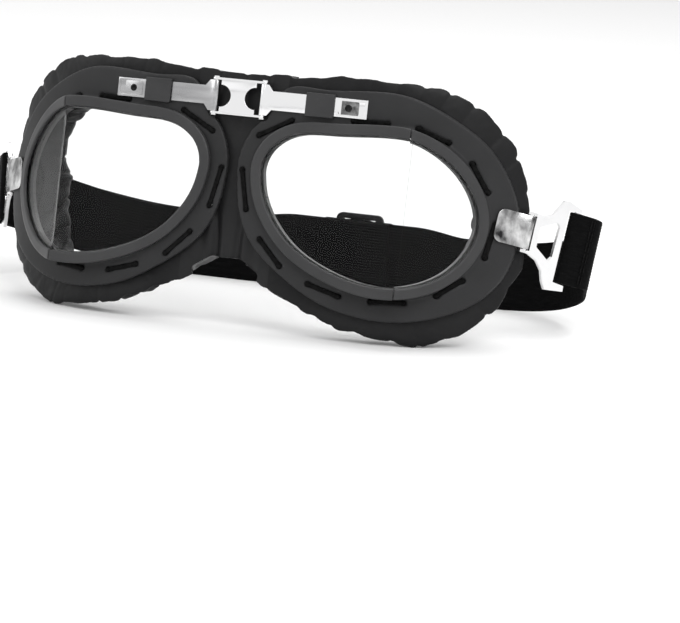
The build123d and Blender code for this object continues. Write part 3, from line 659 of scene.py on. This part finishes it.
# creases and turns are in degrees round the eye's middle; the reach, Y and Z spans in mm
cushion = {
    "eye": (52 * mm, 48 * mm),
    "creases": {
        "left": (-136, -122, -113, -103, -90, -79, -68, -57, -43, -30, -18, -5, 9, 22, 33, 49, 60,
                 71, 83, 97, 106, 121),
        "right": (-134, -125, -111, -100, -92, -77, -70, -55, -46, -28, -15, -7, 6, 19, 36, 47,
                  62, 69, 86, 95, 109, 118),
    },
    "creaseDepth": 1.25 * mm,
    "creaseWidth": 0.8 * mm,
    "creaseShares": (0.65, 0.35, 2.4),  # the usual share of that depth, its change and pace
    "wander": 2.2,
    "wanderWaves": (260, 0.11),
    "plump": 0.95 * mm,
    "plumpLevel": 0.6,
    "pucker": 0.4 * mm,
    "puckerScales": (420, 60),
    "puckerLeast": 0.35,
    "puckerFade": 4 * mm,
    "leastWeight": 0.2,
    "wallWeight": 0.7,
    "frontWeight": 0.35,
    "frontFrom": -0.5,
    "topIn": 2.3 * mm,
    "topTurns": (68, 92, 132, 150),
    "templeOut": 1.4 * mm,
    "templeTurns": (5, 30, 55, 75),
    "bulge": {"left": 1.5 * mm, "right": 5.5 * mm},
    "bulgeTurns": (-74, -46, -12, 9),
    "bulgeReach": (33, 49),
    "bulgeY": (-37, -28),
    "lipUp": 3.4 * mm,
    "lipZ": (4, 20),
    "lipY": (-53, -44),
}

# lengths in mm; each fold has its place, width and depth
noseSkin = {
    "folds": ((-4.4, 1.6, 2.1), (3.8, 1.7, 1.9), (-9.5, 2.2, 0.6), (9.8, 2.2, 0.6)),
    "foldZ": (28, 50),
    "foldSpread": 0.25,
    "panelCreases": (71, 62, 54, 47, 39, 32),
    "panelDepth": 0.9,
    "panelWidth": 0.8,
    "panelWander": 0.9,
    "panelWaves": 0.28,
    "swell": 0.35,
    "swellScales": (0.05, 0.16),
    "pleats": (-9.5, 0.6, 9.2),
    "pleatDepth": 0.8,
    "pleatWidth": 0.9,
    "pleatZ": (70, 78),
    "dip": 1.9,
    "dipX": (5, 21),
    "dipZ": (78, 90),
}


def eased(low, high, value):
    share = min(1.0, max(0.0, (value - low) / (high - low)))
    return share * share * (3 - 2 * share)


# rises from 0 to 1 between the first two values and falls again between the last two
def hump(spans, value):
    return eased(*spans[:2], value) * (1 - eased(*spans[2:], value))


def bell(value, middle, width):
    return math.exp(-(((value - middle) / width) ** 2))


# all leather nodes grown until they meet, joined, and shrunk back
def joinedLeather(look):
    shape = bmesh.new()
    for node in look["nodes"]:
        addShape(shape, nodeShape(node))
    piece = newPiece("leatherWhole", shape)
    addDisplace(piece, look["swell"])
    addRemesh(piece, look["voxel"])
    addSmooth(piece, look["smoothing"][0])
    addDisplace(piece, -look["swell"])
    addSmooth(piece, look["smoothing"][1])
    applyModifiers(piece)
    return piece


# draws in every point that stands off from its neighbours' middle by more than a limit
def calmed(piece, limit, rounds):
    data = piece.data
    spots = np.empty(len(data.vertices) * 3)
    data.vertices.foreach_get("co", spots)
    spots = spots.reshape(-1, 3)
    ends = np.empty(len(data.edges) * 2, dtype=np.int32)
    data.edges.foreach_get("vertices", ends)
    first, second = ends[0::2], ends[1::2]
    count = len(spots)
    share = np.bincount(ends, minlength=count)[:, None]
    for _ in range(rounds):
        sums = [
            np.bincount(first, spots[second, k], count)
            + np.bincount(second, spots[first, k], count)
            for k in range(3)
        ]
        middles = np.stack(sums, axis=1) / share
        far = np.linalg.norm(spots - middles, axis=1) > limit
        spots[far] = middles[far]
    data.vertices.foreach_set("co", spots.ravel())
    data.update()


# gathers round each cushion: a narrow crease at each angle and a plump lobe between two
def gathered(spot, normal, look, side, sign):
    spoke = Vector((sign * spot.x - look["eye"][0], 0, spot.z - look["eye"][1]))
    reach = spoke.length
    outward = spoke.normalized()
    facing = Vector((sign * normal.x, 0, normal.z)).dot(outward)
    behind = max(0.0, normal.y)
    turn = math.degrees(math.atan2(spoke.z, spoke.x))
    waves = look["wanderWaves"]
    turn += look["wander"] * math.sin(spot.y * waves[0] + turn * waves[1])
    angles = look["creases"][side]
    gaps = [abs(turn - angle) for angle in angles]
    near = min(range(len(angles)), key=lambda i: gaps[i])
    off = math.radians(gaps[near]) * reach
    usual, change, pace = look["creaseShares"]
    strength = usual + change * math.sin(near * pace + sign)
    crease = strength * bell(off, 0, look["creaseWidth"])
    below = [a for a in angles if a <= turn]
    above = [a for a in angles if a > turn]
    share = (turn - below[-1]) / (above[0] - below[-1]) if below and above else 0.5
    plump = math.sqrt(max(0.0, 4 * share * (1 - share))) - look["plumpLevel"]
    least = look["leastWeight"]
    weight = least + (1 - least) * max(behind, abs(facing) * look["wallWeight"])
    if normal.y < look["frontFrom"]:
        weight *= look["frontWeight"]
    along = math.radians(turn) * reach
    fine, coarse = look["puckerScales"]
    pucker = noise.noise(Vector((along * fine, reach * coarse, spot.y * coarse + sign)))
    fade = look["puckerLeast"] + math.exp(-off / look["puckerFade"])
    return weight * (
        plump * look["plump"] - crease * look["creaseDepth"] + pucker * look["pucker"] * fade
    )


# upright folds in front, creases across the panel behind, and short pleats at the top
def noseShaped(spot, normal, look):
    x, z = spot.x / mm, spot.z / mm
    if normal.y < 0:
        reach = 1 - eased(*look["foldZ"], z)
        spread = look["foldSpread"]
        fold = sum(
            depth * bell(x, place * (1 + spread - spread * reach), width)
            for place, width, depth in look["folds"]
        )
        amount = -fold * reach * -normal.y
    else:
        amount = -look["panelDepth"] * normal.y * sum(
            bell(z - level, look["panelWander"] * math.sin(x * look["panelWaves"] + level),
                 look["panelWidth"])
            for level in look["panelCreases"]
        )
        wide, high = look["swellScales"]
        amount += look["swell"] * noise.noise(Vector((x * wide, 0, z * high))) * normal.y
    pleats = sum(bell(x, place, look["pleatWidth"]) for place in look["pleats"])
    amount -= look["pleatDepth"] * eased(*look["pleatZ"], z) * pleats
    return amount * mm


# the outline of the cushions: fuller at the temple, trimmer along the top, turned up in front
# below, and bulging inwards low at the temple
def trimmed(spot, normal, look, side, sign):
    spoke = Vector((sign * spot.x - look["eye"][0], 0, spot.z - look["eye"][1]))
    turn = math.degrees(math.atan2(spoke.z, spoke.x))
    outward = Vector((sign * spoke.normalized().x, 0, spoke.normalized().z))
    facing = max(0.0, normal.dot(outward))
    fuller = look["templeOut"] * hump(look["templeTurns"], turn)
    trimmer = look["topIn"] * hump(look["topTurns"], turn)
    move = outward * facing * (fuller - trimmer)
    inside = 1 - eased(*look["bulgeReach"], spoke.length / mm)
    inside *= eased(*look["bulgeY"], spot.y / mm)
    move -= outward * inside * hump(look["bulgeTurns"], turn) * look["bulge"][side]
    low = 1 - eased(*look["lipZ"], spot.z / mm)
    move.z += low * look["lipUp"] * (1 - eased(*look["lipY"], spot.y / mm))
    return move


def shapeLeather(piece, look):
    moves = []
    for vert in piece.data.vertices:
        spot, normal = vert.co, vert.normal
        side, sign = sides[0] if spot.x > 0 else sides[1]
        aside = abs(spot.x) / mm
        nose = 1 - eased(*look["noseEdge"], aside)
        amount = 0
        if nose < 1:
            amount += (1 - nose) * gathered(spot, normal, cushion, side, sign)
        if nose > 0:
            amount += nose * noseShaped(spot, normal, noseSkin)
        amount += look["grain"] * noise.noise(spot * look["grainScale"])
        move = normal * amount + trimmed(spot, normal, cushion, side, sign) * (1 - nose)
        dip = 1 - eased(*noseSkin["dipX"], aside)
        move.z -= noseSkin["dip"] * mm * dip * eased(*noseSkin["dipZ"], spot.z / mm)
        moves.append(move)
    for vert, move in zip(piece.data.vertices, moves):
        vert.co += move
    lowest = min(vert.co.z for vert in piece.data.vertices)
    for vert in piece.data.vertices:  # the lowest part goes to the table's level
        vert.co.z -= lowest * (1 - eased(*look["foot"], (vert.co.z - lowest) / mm))


# keeps what lies on one side of an upright plane, with the cut closed and its edge sharp
def cutAt(shape, x, keep):
    geometry = shape.verts[:] + shape.edges[:] + shape.faces[:]
    cut = bmesh.ops.bisect_plane(
        shape, geom=geometry, dist=0.001 * mm, plane_co=(x, 0, 0), plane_no=(keep, 0, 0),
        clear_inner=True,
    )
    rim = [e for e in cut["geom_cut"] if isinstance(e, bmesh.types.BMEdge) and e.is_boundary]
    bmesh.ops.holes_fill(shape, edges=rim, sides=0)
    for edge in rim:
        edge.smooth = False


def leatherPart(whole, name, cuts):
    shape = bmesh.new()
    shape.from_mesh(whole.data)
    for face in shape.faces:
        face.smooth = True
    for x, keep in cuts:
        cutAt(shape, x, keep)
    return newPiece(name, shape)


whole = joinedLeather(leather)
calmed(whole, leather["spike"], leather["calming"])
shapeLeather(whole, leather)
calmed(whole, leather["spike"], leather["calming"])
for side, sign in sides:
    piece = leatherPart(whole, f"cushionShown_{side}", [(sign * leather["seam"], sign)])
    seat(piece, f"face_cushion_{side}", f"{side}_cup", "padLeather")
    half = leatherPart(whole, f"noseShown_{side}", [(0, sign), (sign * leather["seam"], -sign)])
    paint(half, "noseLeather")
    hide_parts("nose_saddle", "nose_panel")
    level = (leather["blendY"], leather["blendZ"])
    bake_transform(half)
bpy.data.objects.remove(whole)
print("leather made")

# the runs follow the CAD's: clip places and directions are those of the wearer's left clip
strap = {
    "width": 25.4 * mm,
    "thick": 1.3 * mm,
    "ribs": 24,
    "ribSteps": 3,
    "ribHeight": 0.09 * mm,
    "edge": 0.35 * mm,
    "edgeSteps": 3,
    "edgeFrom": 1,  # long edges that turn by more, in radians, are rounded
    "shading": 60,
    "backY": 53.98 * mm,
    "middle": 12.7 * mm,
    "straight": 60 * mm,
    "straightSteps": 60,
    "layer": 1.55 * mm,
    "lift": 2.3 * mm,
    "lifts": (-35.6 * mm, -15.6 * mm, 32.4 * mm, 52.4 * mm),
    "clipAt": (0.101141, -0.021154, 0.041328),
    "clipX": (0.522927, 0.812594, -0.257367),
    "clipY": (0.101772, 0.240258, 0.965359),
    "clipZ": (0.84628, -0.531005, 0.042939),
    "onHook": -1.4 * mm,
    "loopCentre": 19.45 * mm,
    "loopHalf": 1.4 * mm,
    "loopEnd": 28.0 * mm,
    "loopSteps": (8, 12, 12),
    "sewnLevel": 0.1 * mm,
    "sewnSpan": (0.2, 0.7),
    "outerShares": [(0.972, 0.790, 0.840), (0.892, 0.557, 0.620), (0.765, 0.338, 0.400),
                    (0.580, 0.149, 0.200), (0.345, 0.040, 0.060)],
    "innerShares": [(0.930, 0.790, 0.820), (0.812, 0.540, 0.570), (0.655, 0.300, 0.320),
                    (0.468, 0.120, 0.120), (0.255, 0.030, 0.030)],
    "fineSteps": 40,
    "curlSteps": 72,
    "curlOverlap": 0.3 * mm,
    "splitAt": 0.32,
}


def onClip(p, q, z, sign):
    spot = (Vector(strap["clipAt"]) + Vector(strap["clipX"]) * p + Vector(strap["clipY"]) * q
            + Vector(strap["clipZ"]) * z)
    return Vector((sign * spot.x, spot.y, spot.z))


def mirrored(vector, sign):
    return Vector((sign * vector[0], vector[1], vector[2]))


# a smooth run through the points that leaves and arrives along the given directions
def smoothRun(points, firstWay, lastWay, count):
    spots = np.array([tuple(p) for p in points])
    chord = np.linalg.norm(np.diff(spots, axis=0), axis=1)
    size = len(spots)
    matrix, right = np.eye(size), np.zeros((size, 3))
    right[0], right[-1] = tuple(firstWay), tuple(lastWay)
    for i in range(1, size - 1):
        before, after = chord[i - 1], chord[i]
        matrix[i, i - 1: i + 2] = (after, 2 * (before + after), before)
        backward, forward = spots[i] - spots[i - 1], spots[i + 1] - spots[i]
        right[i] = 3 * (after * backward / before + before * forward / after)
    slopes = np.linalg.solve(matrix, right)
    fine = []
    for i in range(size - 1):
        for t in np.linspace(0, 1, strap["fineSteps"], endpoint=i == size - 2):
            a, b = 2 * t**3 - 3 * t**2 + 1, t**3 - 2 * t**2 + t
            c, d = -2 * t**3 + 3 * t**2, t**3 - t**2
            leaning = chord[i] * (b * slopes[i] + d * slopes[i + 1])
            fine.append(a * spots[i] + c * spots[i + 1] + leaning)
    return evenRun(fine, count)


def evenRun(points, count):
    fine = np.array([tuple(p) for p in points])
    along = np.concatenate([[0], np.cumsum(np.linalg.norm(np.diff(fine, axis=0), axis=1))])
    places = np.linspace(0, along[-1], count)
    return [Vector([np.interp(s, along, fine[:, k]) for k in range(3)]) for s in places]


# a grid laid along a run, with ribs along it and a map in metres along and across
def ribbedGrid(run, widthWays):
    last = len(run) - 1
    headings = [
        (run[min(i + 1, last)] - run[max(i - 1, 0)]).normalized() for i in range(last + 1)
    ]
    along = [0.0]
    for a, b in zip(run, run[1:]):
        along.append(along[-1] + (b - a).length)
    shape = bmesh.new()
    across = strap["ribSteps"] * strap["ribs"]
    bmesh.ops.create_grid(shape, x_segments=last, y_segments=across, size=1)
    layer = shape.loops.layers.uv.new("webbingMap")
    half = strap["width"] / 2
    places = {}
    for vert in shape.verts:
        step = int(round((vert.co.x + 1) / 2 * last))
        share = vert.co.y
        wide = Vector(widthWays[step])
        wide = (wide - headings[step] * wide.dot(headings[step])).normalized()
        up = headings[step].cross(wide)
        rib = strap["ribHeight"] * math.cos(math.tau * strap["ribs"] * (share + 1) / 2)
        places[vert] = (along[step], share * half)
        vert.co = run[step] + wide * share * (half - strap["ribHeight"]) + up * rib
    for face in shape.faces:
        face.smooth = True
        for loop in face.loops:
            loop[layer].uv = places[loop.vert]
    return shape


# the sharp edges that run along both borders of a strip
def borderEdges(shape):
    layer = shape.loops.layers.uv.active
    border = strap["width"] / 2 - 0.01 * mm
    found = []
    for edge in shape.edges:
        if edge.is_manifold and edge.calc_face_angle(0) > strap["edgeFrom"]:
            a, b = (vert.link_loops[0][layer].uv for vert in edge.verts)
            if min(abs(a.y), abs(b.y)) > border and abs(a.x - b.x) > 0.01 * mm:
                found.append(edge)
    return found


# webbing as a ribbed strip with its thickness and rounded borders
def webbingStrip(name, run, widthWays):
    piece = newPiece(name, ribbedGrid(run, widthWays))
    addWall(piece, strap["thick"] - 2 * strap["ribHeight"], 0)
    applyModifiers(piece)
    shape = bmesh.new()
    shape.from_mesh(piece.data)
    roundEdges(shape, borderEdges(shape), strap["edge"], strap["edgeSteps"])
    shape.to_mesh(piece.data)
    shape.free()
    shade(piece, strap["shading"])
    paint(piece, "strapWeave")
    return piece


# the way in to the hook, half round it, and back out, sewn down or running on
def hookRun(sewn):
    centre, half, end = strap["loopCentre"], strap["loopHalf"], strap["loopEnd"]
    stepsIn, stepsRound, stepsOut = strap["loopSteps"]
    run = [(end + (centre - end) * i / stepsIn, half) for i in range(stepsIn)]
    for i in range(stepsRound + 1):
        angle = math.pi * i / stepsRound
        run.append((centre - half * math.sin(angle), half * math.cos(angle)))
    last = strap["sewnLevel"] if sewn else -half
    for i in range(1, stepsOut + 1):
        share = i / stepsOut
        ease = eased(*strap["sewnSpan"], share)
        run.append((centre + (end - centre) * share, -half + (last + half) * ease))
    return run


for side, sign in sides:
    run = [onClip(p, strap["onHook"], z, sign) for p, z in hookRun(side == "left")]
    name = "sewnLoopShown_left" if side == "left" else "hookTurnShown_right"
    node = "strap_sewn_loop_left" if side == "left" else "strap_hook_turn_right"
    loop = webbingStrip(name, run, [mirrored(strap["clipY"], sign)] * len(run))
    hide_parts(node)
    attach(loop, f"{side}_clip")


# one curl from clip to back stretch, in two pieces
def curlPieces(side, sign, level, finish, shares, name, node):
    start = onClip(strap["loopEnd"], strap["onHook"], level, sign)
    finish = mirrored(finish, sign)
    span = start - finish
    points = [finish + Vector((span.x * x, span.y * y, span.z * z)) for x, y, z in shares]
    steps = strap["curlSteps"]
    run = smoothRun([start, *points, finish], mirrored(strap["clipX"], sign), (-sign, 0, 0),
                    steps + 1)
    run[-1].x -= sign * strap["curlOverlap"]
    tilt = mirrored(strap["clipY"], sign)
    ways = [tilt * (1 - i / steps) + Vector((0, 0, i / steps)) for i in range(steps + 1)]
    middle = int(steps * strap["splitAt"])
    near = webbingStrip(name + "Near_" + side, run[:middle + 1], ways[:middle + 1])
    far = webbingStrip(name + "Far_" + side, run[middle:], ways[middle:])
    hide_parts(node)
    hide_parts(node)
    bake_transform(near)
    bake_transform(far)


for side, sign in sides:
    finish = (strap["straight"], strap["backY"], strap["middle"])
    curlPieces(side, sign, strap["loopHalf"], finish, strap["outerShares"], "curlShown",
               f"strap_curl_{side}")
finish = (strap["straight"], strap["backY"] - strap["layer"], strap["middle"])
curlPieces("right", -1, -strap["loopHalf"], finish, strap["innerShares"], "innerCurlShown",
           "strap_inner_curl_right")


# the back stretch, lifted where it passes the slider
def straightRun(fromX, toX, y):
    steps = strap["straightSteps"]
    xs = [fromX + (toX - fromX) * i / steps for i in range(steps + 1)]
    return [
        Vector((x, y, strap["middle"] + strap["lift"] * hump(strap["lifts"], x))) for x in xs
    ]


running = straightRun(strap["straight"], -strap["straight"], strap["backY"])
piece = webbingStrip("strapRunningShown", running, [(0, 0, 1)] * len(running))
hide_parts("strap_running")
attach(piece, "bridge")

# the wrap's corners are in mm from the slider's place
slider = {
    "place": 8.4 * mm,
    "wrapY": 55.405 * mm,
    "wrap": [(-13.5, 0.0), (-5.6, 0.0), (-2.2, 3.3), (2.2, 3.3), (5.6, 0.0), (13.5, 0.0)],
    "wrapPoints": 61,
    "wrapRounds": 3,
    "bevel": 0.45 * mm,
}
innerEnd = slider["place"] + slider["wrap"][-1][0] * mm
innerRun = straightRun(-strap["straight"], innerEnd, strap["backY"] - strap["layer"])
piece = webbingStrip("strapInnerShown", innerRun, [(0, 0, 1)] * len(innerRun))
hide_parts("strap_inner_run")
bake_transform(piece)  # its ends don't bend

plate = crispCopy("slider", "sliderShown", slider["bevel"])
seat(plate, "slider", "slider", "sliderPlastic")
level = strap["middle"] + strap["lift"]
corners = [
    Vector((slider["place"] + x * mm, slider["wrapY"] + y * mm, level)) for x, y in slider["wrap"]
]
wrapRun = evenRun(corners, slider["wrapPoints"])
for _ in range(slider["wrapRounds"]):
    between = zip(wrapRun, wrapRun[1:], wrapRun[2:])
    wrapRun = [wrapRun[0], *((a + b * 2 + c) / 4 for a, b, c in between), wrapRun[-1]]
piece = webbingStrip("sliderWrapShown", wrapRun, [(0, 0, 1)] * len(wrapRun))
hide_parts("slider_wrap")
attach(piece, "slider")
print("webbing and slider made")
